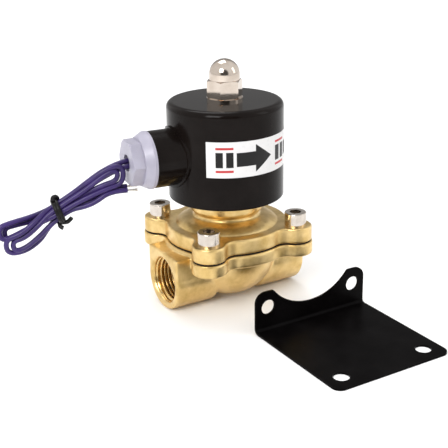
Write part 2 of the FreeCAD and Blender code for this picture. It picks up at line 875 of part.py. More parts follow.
def make_fixed_core():
    """The stop at the tube's top, with the stud for the cap nut and the shading ring in its face."""
    ring_inner = spring_pocket_radius + 0.9
    ring_outer = ring_inner + 1.1
    ring_top = stop_bottom + 1.5
    bevel = 0.6
    shoulder = can_ceiling - running_gap
    stud_top = washer_top + stud_reach
    core_points = [
        (0, spring_top),
        (spring_pocket_radius, spring_top),
        (spring_pocket_radius, stop_bottom),
        (ring_inner, stop_bottom),
        (ring_inner, ring_top),
        (ring_outer, ring_top),
        (ring_outer, stop_bottom),
        (tube_inner - core_fit, stop_bottom),
        (tube_inner - core_fit, tube_top),
        (tube_outer, tube_top),
        (tube_outer, shoulder),
        (stud_radius, shoulder),
        (stud_radius, stud_top - bevel),
        (stud_radius - bevel, stud_top),
        (0, stud_top),
    ]
    shading = tube_section(ring_inner, ring_outer, stop_bottom, ring_top)
    return [turned("fixed_core", core_points), turned("shading_ring", shading)]


# ---------------------------------------------------------------- coil


def along_spigot(name, points):
    """A solid of revolution about the spigot's axis, where an outline's height is its reach."""
    return turned(name, points, TOWARD_INLET, spigot_level)


def make_can_parts():
    """The drawn can, the spigot on its side, and the ring of weld round the spigot's root."""
    top_round = can_top_rounding
    foot = can_foot_rounding
    can_points = [
        (can_inner, coil_seat),
        (can_radius - foot, coil_seat),
        (can_radius, coil_seat + foot, foot, 1),
        (can_radius, can_top - top_round),
        (can_radius - top_round, can_top, top_round, 1),
        (stud_radius + 0.3, can_top),
        (stud_radius + 0.3, can_ceiling),
        (can_inner, can_ceiling),
    ]
    blank = turned("can_blank", can_points)
    opening = along_spigot("can_opening", tube_section(0, spigot_bore, neck_radius, spigot_reach))
    can = cut("coil_can", blank, [opening])
    round_can = turned("can_outside", tube_section(0, can_radius, coil_seat, can_top))
    pipe_section = tube_section(spigot_bore, spigot_radius, neck_radius, spigot_reach)
    spigot = cut("conduit_spigot", along_spigot("spigot_pipe", pipe_section), [round_can])
    weld_outer = spigot_radius + weld_ring_width
    weld_section = tube_section(spigot_radius, weld_outer, neck_radius, spigot_reach)
    weld_skin = tube_section(can_radius, can_radius + weld_ring_height, coil_seat, can_top)
    weld = shared("weld_ring", along_spigot("weld_pipe", weld_section), turned("weld_skin", weld_skin))
    return [with_coil(can), with_coil(spigot), with_coil(weld)]


def make_gland():
    """The plastic bushing that the leads leave by: shank, coned flange and bevelled hexagon."""
    outline = [
        (0, shank_start),
        (shank_radius, shank_start),
        (shank_radius, spigot_reach),
        (gland_flange_radius, spigot_reach),
        (gland_flange_radius, spigot_reach + gland_rim_thickness),
        (gland_cone_radius, gland_hex_start),
        (0, gland_hex_start),
    ]
    corner = gland_flats / math.sqrt(3)
    nose = [
        (0, gland_hex_start - 0.5),
        (corner, gland_hex_start - 0.5),
        (corner, gland_nose_start),
        (gland_nose_radius, gland_face),
        (0, gland_face),
    ]
    hexagon = hex_prism(
        "gland_hexagon",
        gland_flats,
        spigot_level,
        gland_face + 1,
        TOWARD_INLET * FreeCAD.Rotation(Z_AXIS, 30),
    )
    head = shared("gland_head", hexagon, along_spigot("gland_nose", nose))
    blank = joined("gland_blank", [along_spigot("gland_flange", outline), head])
    hole_section = tube_section(0, gland_hole_radius, shank_start - 1, gland_face + 1)
    return with_coil(cut("cable_gland", blank, [along_spigot("gland_hole", hole_section)]))


def make_coil_inside():
    """Yoke plate, sleeve, bobbin, winding, and the resin round them and in the spigot."""
    bobbin_bottom = yoke_top
    spool_low = bobbin_bottom + bobbin_flange_thickness
    spool_high = bobbin_top - bobbin_flange_thickness
    bobbin_points = [
        (sleeve_outer, bobbin_bottom),
        (bobbin_flange_radius, bobbin_bottom),
        (bobbin_flange_radius, spool_low),
        (bobbin_core, spool_low),
        (bobbin_core, spool_high),
        (bobbin_flange_radius, spool_high),
        (bobbin_flange_radius, bobbin_top),
        (sleeve_outer, bobbin_top),
    ]
    winding = tube_section(bobbin_core, winding_radius, spool_low, spool_high)
    potting = tube_section(bobbin_flange_radius, can_inner, yoke_top, bobbin_top)
    plug_blank = along_spigot("plug_blank", tube_section(0, spigot_bore, neck_radius, shank_start))
    plug_limit = turned("plug_limit", tube_section(0, can_radius, coil_seat, can_top))
    pieces = [
        turned("yoke_plate", tube_section(coil_bore, can_inner, yoke_bottom, yoke_top)),
        turned("flux_sleeve", tube_section(coil_bore, sleeve_outer, yoke_top, yoke_top + sleeve_length)),
        turned("bobbin", bobbin_points),
        turned("winding", winding),
        turned("potting", potting),
        cut("spigot_potting", plug_blank, [plug_limit]),
    ]
    return [with_coil(piece) for piece in pieces]


def make_label():
    """The printed strip on the can."""
    body = new_body("coil_label")
    sketch = new_sketch(body, "XZ_Plane")
    label_middle = coil_seat + label_rise
    bottom = label_middle - label_height / 2
    top = label_middle + label_height / 2
    draw_outline(sketch, tube_section(can_radius, can_radius + label_thickness, bottom, top))
    revolve(body, sketch, label_sweep)
    turn = label_start.value + coil_turn.value
    body.Placement = FreeCAD.Placement(VECTOR(), FreeCAD.Rotation(Z_AXIS, turn))
    return body


# ---------------------------------------------------------------- cap nut and washer


def make_cap_nut_parts():
    """The domed nut on the stud and the washer under it."""
    corner = cap_nut_flats / math.sqrt(3)
    bevel = 0.55
    dome_start = cap_nut_top - cap_nut_dome_radius
    hex_top = washer_top + cap_nut_hex_height
    hex_limit = [
        (0, washer_top),
        (cap_nut_flats / 2 + 0.3, washer_top),
        (corner, washer_top + bevel),
        (corner, hex_top - bevel),
        (cap_nut_flats / 2, hex_top),
        (0, hex_top),
    ]
    dome = [
        (0, hex_top - 1),
        (cap_nut_dome_radius, hex_top - 1),
        (cap_nut_dome_radius, dome_start),
        (0, cap_nut_top, cap_nut_dome_radius, 1),
    ]
    hexagon = hex_prism("cap_hexagon", cap_nut_flats, washer_top, cap_nut_hex_height)
    hex_part = shared("cap_hex", hexagon, turned("cap_limit", hex_limit))
    thread = stud_radius + stud_fit
    hole = tube_section(0, thread, washer_top - 1, washer_top + stud_reach + 0.4)
    blank = joined("cap_blank", [hex_part, turned("cap_dome", dome)])
    nut = cut("cap_nut", blank, [turned("cap_hole", hole)])
    nut.Placement = FreeCAD.Placement(VECTOR(), FreeCAD.Rotation(Z_AXIS, cap_nut_turn.value))
    washer = turned("nut_washer", tube_section(thread, washer_radius, can_top, washer_top))
    return [nut, washer]


# ---------------------------------------------------------------- bracket


def make_bracket():
    """Angle bracket: a plate on the surface, and an upright ear plate with a round notch between two
    holes at the bonnet screws' spacing."""
    body = new_body("mounting_bracket")
    middle = bracket_width / 2
    inside = bracket_thickness + bracket_bend
    profile = [
        (0, bracket_height),
        (0, inside),
        (inside, 0, inside, 1),
        (bracket_depth, 0),
        (bracket_depth, bracket_thickness),
        (inside, bracket_thickness),
        (bracket_thickness, inside, bracket_bend, -1),
        (bracket_thickness, bracket_height),
    ]
    section = new_sketch(body, "YZ_Plane")
    draw_outline(section, profile)
    pad(body, section, bracket_width)
    ear_sketch = new_sketch(body, "XZ_Plane")
    for side in (-1, 1):
        across = middle + half_spacing * side
        draw_circle(ear_sketch, across, bracket_hole_height, bracket_hole_radius)
    pocket(body, ear_sketch)
    notch_sketch = new_sketch(body, "XZ_Plane")
    draw_circle(notch_sketch, middle, bracket_hole_height + half_spacing, bracket_notch_radius)
    pocket(body, notch_sketch)
    plate_sketch = new_sketch(body, "XY_Plane")
    plate_hole_row = bracket_depth - plate_hole_margin
    for side in (-1, 1):
        across = middle + plate_hole_spacing / 2 * side
        draw_circle(plate_sketch, across, plate_hole_row, plate_hole_diameter / 2)
    pocket(body, plate_sketch)

    def plate_corner(edge):
        box = edge.BoundBox
        return box.ZLength > 0.9 * edge.Length and box.YMin > bracket_depth.value - 0.01

    def ear_corner(edge):
        box = edge.BoundBox
        outer = min(box.XMin, bracket_width.value - box.XMax) < 0.01
        return box.YLength > 0.9 * edge.Length and box.ZMin > bracket_height.value - 0.01 and outer

    def notch_corner(edge):
        box = edge.BoundBox
        inner = min(box.XMin, bracket_width.value - box.XMax) > ear_corner_radius.value
        return box.YLength > 0.9 * edge.Length and box.ZMin > bracket_height.value - 0.01 and inner

    round_edges(body, plate_corner_radius, plate_corner)
    round_edges(body, ear_corner_radius, ear_corner)
    round_edges(body, bracket_bend, notch_corner)
    body.Placement = FreeCAD.Placement(VECTOR(), FreeCAD.Rotation(Z_AXIS, 180))
    body.setExpression("Placement.Base.x", bracket_side.text)
    body.setExpression("Placement.Base.y", (bracket_front * -1).text)
    return body


# ---------------------------------------------------------------- leads

# The first two run from the resin in the spigot to the hank, and the others from the hank to a cut end.
LEAD_ROUTES = {
    "lead_tube_a": [(-30.58, 4.57, 71.6), (-39.32, 5.6, 71.6), (-48.8, 7.0, 71.3), (-57.2, 9.6, 67.8)],
    "lead_tube_b": [(-30.82, 2.5, 69.8), (-39.56, 3.53, 69.8), (-48.9, 4.7, 69.6), (-57.1, 7.2, 66.1)],
    "lead_end_a": [(-61.6, 8.2, 56.8), (-55.3, 6.6, 60.2), (-48.1, 4.7, 60.1)],
    "lead_end_b": [(-62.7, 5.8, 54.8), (-56.4, 4.2, 58.5), (-49.0, 2.4, 58.5)],
}
CUT_ENDS = ("lead_end_a", "lead_end_b")
TIP_LENGTH = 4.8
HANK_START = VECTOR(-50.8, 6.5, 66.6)
HANK_END = VECTOR(-101.2, 19.2, 40.0)
# How thick the tied hank is at each reach from its near end.
HANK_OUTLINE = [
    (2.6, 0.0),
    (4.4, 3.0),
    (4.7, 10.0),
    (3.9, 27.0),
    (3.9, 33.0),
    (5.6, 43.0),
    (5.6, 54.5),
    (3.2, 58.4),
]
TIE_REACH = 29.0
TIE_RADIUS = 3.9
ARC_SHARE = 0.45


def cord_path(points):
    """Straight runs joined by arcs as large as the runs allow; prints the arcs' radii."""
    edges = []
    start = points[0]
    for before, corner, after in zip(points, points[1:], points[2:]):
        way_in = (corner - before).normalize()
        way_out = (after - corner).normalize()
        turn = way_in.getAngle(way_out)
        reach = ARC_SHARE * min((corner - before).Length, (after - corner).Length)
        radius = reach / math.tan(turn / 2)
        print("cord arc radius %.1f mm" % radius)
        arc_start = corner - way_in * reach
        arc_end = corner + way_out * reach
        bisector = (way_out - way_in).normalize()
        arc_middle = corner + bisector * (radius / math.cos(turn / 2) - radius)
        edges.append(Part.LineSegment(start, arc_start).toShape())
        edges.append(Part.Arc(arc_start, arc_middle, arc_end).toShape())
        start = arc_end
    edges.append(Part.LineSegment(start, points[-1]).toShape())
    return Part.Wire(edges)


def cord_tube(name, route):
    """A round tube along a route."""
    points = [VECTOR(*point) for point in route]
    path = cord_path(points)
    ring = Part.Circle(points[0], points[1] - points[0], lead_diameter.value / 2).toShape()
    tube = path.makePipeShell([Part.Wire([ring])], True, True)
    expected = path.Length * math.pi * (lead_diameter.value / 2) ** 2
    if abs(tube.Volume - expected) > 0.02 * expected:
        raise RuntimeError("%s has volume %.2f, not %.2f" % (name, tube.Volume, expected))
    feature = DOC.addObject("Part::Feature", name)
    feature.Shape = tube
    return feature


def lead_tip(name, route):
    """The bare wire beyond a lead's cut end, in line with it."""
    before, end = [VECTOR(*point) for point in route[-2:]]
    tip = DOC.addObject("Part::Cylinder", name)
    tip.setExpression("Radius", (tip_diameter / 2).text)
    tip.Height = TIP_LENGTH
    tip.Placement = FreeCAD.Placement(end, FreeCAD.Rotation(Z_AXIS, end - before))
    return tip


def make_leads():
    """The two leads: where they leave the gland, the tied hank, their free ends and the tie."""
    tubes = [cord_tube(name, route) for name, route in LEAD_ROUTES.items()]
    along = (HANK_END - HANK_START).normalize()
    lay = FreeCAD.Rotation(Z_AXIS, along)
    reaches = [reach for radius, reach in HANK_OUTLINE]
    hank_blank = turned("hank_blank", [(0, reaches[0])] + HANK_OUTLINE + [(0, reaches[-1])])
    hank_blank.Placement = FreeCAD.Placement(HANK_START, lay)
    middle = TIE_RADIUS + tie_wire / 2
    bulge = tie_wire * 0.52
    tie_points = [
        (TIE_RADIUS, TIE_REACH),
        (middle, TIE_REACH),
        (middle, TIE_REACH + tie_wire, bulge, 1),
        (middle, TIE_REACH + tie_wire * 2, bulge, 1),
        (TIE_RADIUS, TIE_REACH + tie_wire * 2),
    ]
    tie = turned("twist_tie", tie_points)
    tie.Placement = FreeCAD.Placement(HANK_START, lay)
    hank_clear = cut("lead_hank", hank_blank, tubes)
    tips = DOC.addObject("Part::Compound", "lead_tips")
    tips.Links = [lead_tip(name + "_tip", LEAD_ROUTES[name]) for name in CUT_ENDS]
    return tubes + [hank_clear, tie, tips]


# ---------------------------------------------------------------- build, test and write


def make_all():
    pieces = [make_valve_body(), make_bonnet(), make_diaphragm_rim(), make_bonnet_screws()]
    pieces += make_diaphragm_middle()
    pieces += make_tube_parts()
    pieces += make_plunger_parts()
    pieces += make_fixed_core()
    pieces += make_can_parts()
    pieces += [make_gland()]
    pieces += make_coil_inside()
    pieces += [make_label()]
    pieces += make_cap_nut_parts()
    pieces += [make_bracket()]
    pieces += make_leads()
    return pieces


def test_document():
    """Stops the build if any object of the document failed."""
    for thing in DOC.Objects:
        if "Invalid" in thing.State or "Error" in thing.State:
            raise RuntimeError("%s failed: %s" % (thing.Name, thing.State))


def test_piece(piece):
    """Stops the build if a piece has no sound shape."""
    if piece.Shape.isNull() or not piece.Shape.isValid() or not piece.Shape.Solids:
        raise RuntimeError("%s has no valid solid" % piece.Label)


PIECES = make_all()
DOC.recompute()
test_document()
os.makedirs("parts", exist_ok=True)
for piece in PIECES:
    piece.Label = piece.Name
    test_piece(piece)
for piece in PIECES:
    piece.Shape.exportStep("parts/%s.step" % piece.Label)
    print("%-20s %2d solids %10.1f mm3" % (piece.Label, len(piece.Shape.Solids), piece.Shape.Volume))
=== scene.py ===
"""Looks for the solenoid valve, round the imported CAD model: leads, tie, port threads, printed label,
materials, floor and light.

Lengths are metres in the row frame: X along the ports, Y to the back, Z up. The leads, the tie and
the label's print are laid out in millimetres.
"""

import json
import math
import bmesh
import bpy
from mathutils import Matrix, Vector


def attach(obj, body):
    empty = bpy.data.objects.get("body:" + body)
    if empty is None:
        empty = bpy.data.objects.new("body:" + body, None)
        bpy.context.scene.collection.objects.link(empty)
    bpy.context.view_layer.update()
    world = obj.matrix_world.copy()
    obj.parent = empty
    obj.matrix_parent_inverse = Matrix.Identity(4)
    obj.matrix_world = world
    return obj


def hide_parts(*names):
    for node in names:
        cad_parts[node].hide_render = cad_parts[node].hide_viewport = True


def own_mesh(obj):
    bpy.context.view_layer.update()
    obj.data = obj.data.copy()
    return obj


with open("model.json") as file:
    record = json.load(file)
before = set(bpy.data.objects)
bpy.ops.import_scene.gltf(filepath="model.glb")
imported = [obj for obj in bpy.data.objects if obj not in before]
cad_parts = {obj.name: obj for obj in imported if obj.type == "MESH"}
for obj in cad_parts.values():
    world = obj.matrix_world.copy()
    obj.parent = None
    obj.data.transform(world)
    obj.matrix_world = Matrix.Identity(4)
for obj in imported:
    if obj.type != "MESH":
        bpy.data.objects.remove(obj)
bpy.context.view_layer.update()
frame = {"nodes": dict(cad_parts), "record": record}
NODES = frame["nodes"]
MM = 0.001

# ---------------------------------------------------------------- camera

CAMERA_PLACE = (-0.2151, -0.3591, 0.1915)
CAMERA_RIGHT = (0.8563, -0.5162, -0.0158)
CAMERA_FORWARD = (0.4785, 0.8045, -0.3518)
CAMERA_LENS = 76.5
SENSOR_WIDTH = 36.0


def make_camera():
    """The photograph's viewpoint: from the front left, a little above."""
    right = Vector(CAMERA_RIGHT).normalized()
    forward = Vector(CAMERA_FORWARD).normalized()
    up = right.cross(forward)
    data = bpy.data.cameras.new("camera")
    data.lens = CAMERA_LENS
    data.sensor_width = SENSOR_WIDTH
    data.clip_start = 0.01
    camera = bpy.data.objects.new("camera", data)
    bpy.context.scene.collection.objects.link(camera)
    turn = Matrix((right, up, -forward)).transposed().to_4x4()
    camera.matrix_world = Matrix.Translation(CAMERA_PLACE) @ turn
    bpy.context.scene.camera = camera


make_camera()

# ---------------------------------------------------------------- leads

LEAD_RADIUS = 1.15 * MM
HANK_ORIGIN = Vector((-47.17, 5.55, 0.0))
HANK_ALONG = Vector((-0.966, 0.259, 0.0))
HANK_FRONT = Vector((-0.259, -0.966, 0.0))


def hank_point(along, height, front):
    """A point of the hank in millimetres: its distance from the gland, its height, and how far it
    stands in front of the hank's middle plane."""
    return HANK_ORIGIN + HANK_ALONG * along + HANK_FRONT * front + Vector((0.0, 0.0, height))


LEAD_A = [
    Vector((-30.58, 4.57, 71.6)),
    Vector((-39.32, 5.6, 71.6)),
    Vector((-48.8, 7.0, 71.3)),
    Vector((-57.2, 9.6, 67.8)),
    hank_point(18.5, 62.5, -2.2),
    hank_point(27.6, 56.2, -2.1),
    hank_point(35.6, 52.1, -2.1),
    hank_point(43.5, 49.9, -1.5),
    hank_point(51.8, 48.6, -0.8),
    hank_point(57.4, 47.3, 0.0),
    hank_point(56.8, 41.3, 0.6),
    hank_point(51.4, 42.9, 1.1),
    hank_point(43.0, 47.0, 1.9),
    hank_point(34.6, 50.1, 2.6),
    hank_point(26.6, 54.2, 2.6),
    hank_point(17.5, 58.4, 3.4),
    hank_point(9.5, 61.2, 3.7),
    hank_point(2.6, 63.0, 3.7),
    hank_point(2.4, 71.0, 3.6),
    hank_point(9.5, 70.2, 3.3),
    hank_point(18.5, 63.8, 1.8),
    hank_point(28.1, 57.1, 0.0),
    hank_point(36.1, 53.0, 0.4),
    hank_point(41.8, 49.4, 3.6),
    hank_point(48.2, 44.4, 3.6),
    hank_point(55.0, 42.4, 2.6),
    hank_point(54.6, 35.2, 1.2),
    hank_point(47.2, 34.9, 0.0),
    hank_point(40.0, 38.8, -0.9),
    hank_point(35.8, 44.6, -1.3),
    hank_point(31.4, 49.2, -1.2),
    hank_point(25.8, 52.6, -1.0),
    hank_point(19.5, 55.4, 0.4),
    Vector((-61.6, 8.2, 56.8)),
    Vector((-55.3, 6.6, 60.4)),
    Vector((-48.1, 4.7, 60.4)),
]
LEAD_B = [
    Vector((-30.82, 2.5, 69.8)),
    Vector((-39.56, 3.53, 69.8)),
    Vector((-48.9, 4.7, 69.6)),
    Vector((-57.1, 7.2, 66.1)),
    hank_point(18.5, 60.4, -1.4),
    hank_point(26.6, 54.2, -2.6),
    hank_point(34.6, 50.1, -2.7),
    hank_point(42.5, 47.6, -2.8),
    hank_point(50.0, 46.6, -2.7),
    hank_point(55.0, 45.8, -2.4),
    hank_point(54.6, 40.5, -1.9),
    hank_point(49.6, 41.4, -1.3),
    hank_point(42.0, 45.9, -0.8),
    hank_point(34.9, 50.6, 0.0),
    hank_point(26.9, 54.7, 0.0),
    hank_point(18.5, 59.4, 1.6),
    hank_point(11.5, 62.8, 3.3),
    hank_point(5.2, 64.4, 3.7),
    hank_point(4.8, 68.9, 3.7),
    hank_point(9.9, 68.0, 3.5),
    hank_point(18.5, 61.6, 2.7),
    hank_point(27.6, 56.2, 2.1),
    hank_point(35.2, 52.0, 2.3),
    hank_point(41.0, 47.0, 3.4),
    hank_point(47.0, 42.2, 2.9),
    hank_point(52.0, 41.1, 2.0),
    hank_point(51.6, 36.1, 1.4),
    hank_point(46.8, 37.0, 1.5),
    hank_point(40.6, 41.4, 1.5),
    hank_point(36.0, 45.6, 1.3),
    hank_point(31.4, 49.2, 1.2),
    hank_point(25.8, 52.6, 1.5),
    hank_point(20.0, 53.7, 3.0),
    Vector((-62.7, 5.8, 55.6)),
    Vector((-56.4, 4.2, 59.8)),
    Vector((-49.0, 2.4, 59.4)),
]


def link(thing):
    bpy.context.scene.collection.objects.link(thing)
    return thing


def smooth_curve(name, routes, radius):
    """A round wire along each route, on a smooth NURBS spline."""
    data = bpy.data.curves.new(name, "CURVE")
    data.dimensions = "3D"
    data.resolution_u = 8
    data.bevel_depth = 1.0
    data.bevel_resolution = 5
    data.use_fill_caps = True
    for route in routes:
        spline = data.splines.new("NURBS")
        spline.points.add(len(route) - 1)
        for vertex, point in zip(spline.points, route):
            vertex.co = (*(Vector(point) * MM), 1.0)
            vertex.radius = radius
        spline.order_u = 3
        spline.use_endpoint_u = True
    return link(bpy.data.objects.new(name, data))


TIP_STRANDS = 7
TIP_STEPS = 6
TIP_LENGTH = 4.6
TIP_UNEVENNESS = 0.13
TIP_OVERLAP = 0.2
TIP_TWIST = 200
TIP_SPLAY = 0.35
STRAND_OFFSET = 0.36
STRAND_RADIUS = 0.17 * MM


def frayed_tip(name, route):
    """Tinned strands in line with a lead's cut end: one in the middle, the others twisted round it."""
    end = Vector(route[-1])
    along = (end - Vector(route[-2])).normalized()
    side = along.cross(Vector((0.0, 0.0, 1.0))).normalized()
    over = side.cross(along)
    strands = []
    for strand in range(TIP_STRANDS):
        reach = 0.0 if strand == TIP_STRANDS - 1 else STRAND_OFFSET
        length = TIP_LENGTH + TIP_UNEVENNESS * (strand % 3)
        points = []
        for step in range(TIP_STEPS + 1):
            share = step / TIP_STEPS
            angle = math.radians(60 * strand + TIP_TWIST * share)
            spread = reach * (1 + TIP_SPLAY * share * share)
            offset = side * math.cos(angle) * spread + over * math.sin(angle) * spread
            points.append(end + along * (length * share - TIP_OVERLAP) + offset)
        strands.append(points)
    return smooth_curve(name, strands, STRAND_RADIUS)


def make_leads():
    lead_a = smooth_curve("lead_a", [LEAD_A], LEAD_RADIUS)
    lead_b = smooth_curve("lead_b", [LEAD_B], LEAD_RADIUS)
    tip_a = frayed_tip("lead_tip_a", LEAD_A)
    tip_b = frayed_tip("lead_tip_b", LEAD_B)
    return lead_a, lead_b, tip_a, tip_b


TIE_RADIUS = 0.95 * MM
TIE_MIDDLE = Vector((31.4, 52.1))
TIE_UP = Vector((0.26, 0.966))
TIE_AWAY = Vector((0.966, -0.26))
TIE_STEPS = 46
TIE_START = 105
TIE_TURN = 885
TIE_LEFT = -1.5
TIE_WIDTH = 2.8
TIE_HALF_HEIGHT = 4.95
TIE_HALF_DEPTH = 5.1


def make_tie():
    """The coated wire that ties the hank: a knob on top, about two and a half wraps and two tails."""

    def place(reach, height, front):
        spot = TIE_MIDDLE + TIE_UP * height + TIE_AWAY * reach
        return hank_point(spot.x, spot.y, front)

    wire = [
        place(0.6, 5.4, 2.0),
        place(0.4, 6.7, 0.8),
        place(-1.2, 6.6, -0.2),
        place(-1.8, 5.2, -0.8),
    ]
    for step in range(TIE_STEPS + 1):
        angle = math.radians(TIE_START + TIE_TURN * step / TIE_STEPS)
        reach = TIE_LEFT + TIE_WIDTH * step / TIE_STEPS
        height = TIE_HALF_HEIGHT * math.sin(angle)
        wire.append(place(reach, height, TIE_HALF_DEPTH * math.cos(angle)))
    wire += [place(1.2, -5.8, 0.8), place(1.5, -6.7, 1.8), place(0.4, -7.5, 2.4)]
    tail = [
        place(0.2, -5.0, 1.8),
        place(-1.6, -5.4, 2.8),
        place(-3.2, -4.8, 3.6),
        place(-4.5, -3.8, 3.8),
    ]
    return smooth_curve("tie_wire", [wire, tail], TIE_RADIUS)


lead_a, lead_b, tip_a, tip_b = make_leads()
tie = make_tie()
for piece in (lead_a, lead_b, tip_a, tip_b, tie):
    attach(piece, "coil_group")
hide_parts("lead_tube_a", "lead_end_a", "lead_hank")
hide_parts("lead_tube_b", "lead_end_b")
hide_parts("lead_tips")
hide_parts("twist_tie")

# ---------------------------------------------------------------- materials


# Blender's noise lies mostly between these two values.
NOISE_LOW = 0.3
NOISE_HIGH = 0.7


class Look:
    """A material with procedural nodes, in the object's own coordinates."""

    def __init__(self, name, **values):
        self.material = bpy.data.materials.new(name)
        self.material.use_nodes = True
        self.tree = self.material.node_tree
        self.shader = self.tree.nodes["Principled BSDF"]
        self.place = self.node("ShaderNodeTexCoord").outputs["Object"]
        for socket, value in values.items():
            self.shader.inputs[socket.replace("_", " ")].default_value = value

    def node(self, kind, **values):
        made = self.tree.nodes.new(kind)
        for name, value in values.items():
            setattr(made, name, value)
        return made

    def connect(self, source, target):
        self.tree.links.new(source, target)

    def stretched(self, scale):
        """The object's coordinates, stretched by a scale along each axis."""
        mapping = self.node("ShaderNodeMapping")
        mapping.inputs["Scale"].default_value = scale
        self.connect(self.place, mapping.inputs["Vector"])
        return mapping.outputs["Vector"]

    def noise(self, size, detail=3.0, roughness=0.5, place=None):
        """Noise with features of about that size in millimetres."""
        noise = self.node("ShaderNodeTexNoise")
        noise.inputs["Scale"].default_value = 1.0 / (size * MM)
        noise.inputs["Detail"].default_value = detail
        noise.inputs["Roughness"].default_value = roughness
        self.connect(place or self.place, noise.inputs["Vector"])
        return noise.outputs["Fac"]

    def ramp(self, value, *stops):
        """Colours at positions of a value."""
        ramp = self.node("ShaderNodeValToRGB")
        elements = ramp.color_ramp.elements
        while len(elements) < len(stops):
            elements.new(0.5)
        for element, (position, colour) in zip(elements, stops):
            element.position = position
            element.color = (*colour, 1.0)
        self.connect(value, ramp.inputs["Fac"])
        return ramp.outputs["Color"]

    def spread(self, value, low, high):
        """A noise value spread between low and high."""
        spread = self.node("ShaderNodeMapRange")
        spread.inputs["From Min"].default_value = NOISE_LOW
        spread.inputs["From Max"].default_value = NOISE_HIGH
        spread.inputs["To Min"].default_value = low
        spread.inputs["To Max"].default_value = high
        self.connect(value, spread.inputs["Value"])
        return spread.outputs["Result"]

    def bump(self, value, depth, before=None):
        """A bump as deep as depth in millimetres, on top of the one before."""
        bump = self.node("ShaderNodeBump")
        bump.inputs["Strength"].default_value = 1.0
        bump.inputs["Distance"].default_value = depth * MM
        self.connect(value, bump.inputs["Height"])
        if before is not None:
            self.connect(before, bump.inputs["Normal"])
        return bump.outputs["Normal"]

    def colour(self, value):
        self.connect(value, self.shader.inputs["Base Color"])

    def rough(self, value):
        self.connect(value, self.shader.inputs["Roughness"])

    def normal(self, value):
        self.connect(value, self.shader.inputs["Normal"])


def brass(name, light, dark, roughness, grain):
    """Forged or turned brass: cloudy colour, shot-blasted grain and slow waves."""
    look = Look(name, Metallic=1.0)
    cloud = look.noise(9.0, 4.0, 0.6)
    look.colour(look.ramp(cloud, (0.32, dark), (0.62, light)))
    look.rough(look.spread(look.noise(2.2, 5.0, 0.65), roughness - 0.06, roughness + 0.07))
    waves = look.bump(look.noise(3.5, 2.0), 0.06)
    look.normal(look.bump(look.noise(0.45, 4.0, 0.7), grain, waves))
    return look.material


def metal(name, light, dark, roughness, scratches=(1.0, 1.0, 1.0), depth=0.004):
    """Plain metal with fine marks that run along the axis whose scale is small."""
    look = Look(name, Metallic=1.0)
    look.colour(look.ramp(look.noise(4.0, 3.0), (0.35, dark), (0.65, light)))
    fine = look.noise(0.3, 3.0, 0.6, look.stretched(scratches))
    look.rough(look.spread(fine, roughness * 0.8, roughness * 1.25))
    look.normal(look.bump(fine, depth))
    return look.material


def paint(name, colour, roughness, specular, peel, grain):
    """Sprayed or powder paint: faint orange peel and a few lighter clouds."""
    look = Look(name, Specular_IOR_Level=specular)
    dust = tuple(c * 1.35 + 0.002 for c in colour)
    look.colour(look.ramp(look.noise(14.0, 5.0, 0.6), (0.35, colour), (0.7, dust)))
    look.rough(look.spread(look.noise(1.6, 4.0, 0.6), roughness - 0.04, roughness + 0.05))
    waves = look.bump(look.noise(2.2, 1.0), peel)
    look.normal(look.bump(look.noise(0.35, 2.0), grain, waves))
    return look.material


def plastic(name, light, dark, roughness, **values):
    """Moulded plastic or rubber with a faint cloud and a fine skin."""
    look = Look(name, **values)
    look.colour(look.ramp(look.noise(7.0, 3.0), (0.3, dark), (0.7, light)))
    look.rough(look.spread(look.noise(1.2, 4.0, 0.6), roughness - 0.05, roughness + 0.06))
    look.normal(look.bump(look.noise(0.5, 3.0, 0.6), 0.012))
    return look.material


FORGED = brass("forged_brass", (0.83, 0.61, 0.28), (0.58, 0.39, 0.135), 0.34, 0.026)
TURNED = brass("turned_brass", (0.80, 0.57, 0.25), (0.66, 0.44, 0.16), 0.2, 0.004)
RUBBER = plastic(
    "black_rubber",
    (0.010, 0.009, 0.009),
    (0.006, 0.006, 0.006),
    0.6,
    Specular_IOR_Level=0.2,
)
SCREW_NICKEL = metal("nickel_screw", (0.68, 0.62, 0.56), (0.55, 0.49, 0.43), 0.14)
NUT_NICKEL = metal("nickel_nut", (0.64, 0.56, 0.49), (0.54, 0.46, 0.39), 0.1, depth=0.003)
STAINLESS = metal("stainless", (0.60, 0.60, 0.59), (0.52, 0.52, 0.51), 0.28, (1.0, 1.0, 0.08))
MAGNET_STEEL = metal("magnet_steel", (0.52, 0.53, 0.54), (0.44, 0.45, 0.46), 0.3, (0.1, 0.1, 1.0))
COPPER = metal("copper", (0.80, 0.40, 0.24), (0.60, 0.26, 0.14), 0.32, (0.02, 0.02, 1.6), 0.03)
BLACK_PAINT = paint("black_paint", (0.0052, 0.0034, 0.0028), 0.14, 0.09, 0.010, 0.002)
ZINC = metal("yoke_zinc", (0.58, 0.58, 0.56), (0.48, 0.48, 0.47), 0.36)
BOBBIN = plastic("bobbin_plastic", (0.50, 0.45, 0.36), (0.42, 0.37, 0.29), 0.5)
RESIN = plastic("resin", (0.045, 0.04, 0.036), (0.03, 0.026, 0.022), 0.25)
NYLON = plastic(
    "white_nylon",
    (0.41, 0.395, 0.475),
    (0.35, 0.335, 0.41),
    0.34,
    Subsurface_Weight=0.25,
    Subsurface_Radius=(1.0, 1.0, 1.1),
    Subsurface_Scale=0.0015,
)
FILM = plastic("label_film", (0.76, 0.75, 0.74), (0.72, 0.71, 0.71), 0.3)
PRINT_BLACK = plastic(
    "print_black",
    (0.010, 0.009, 0.009),
    (0.007, 0.007, 0.007),
    0.34,
    Specular_IOR_Level=0.25,
)
PRINT_RED = plastic("print_red", (0.55, 0.025, 0.03), (0.45, 0.02, 0.022), 0.34)
BRACKET = paint("bracket_coating", (0.0014, 0.0010, 0.0011), 0.34, 0.03, 0.004, 0.006)
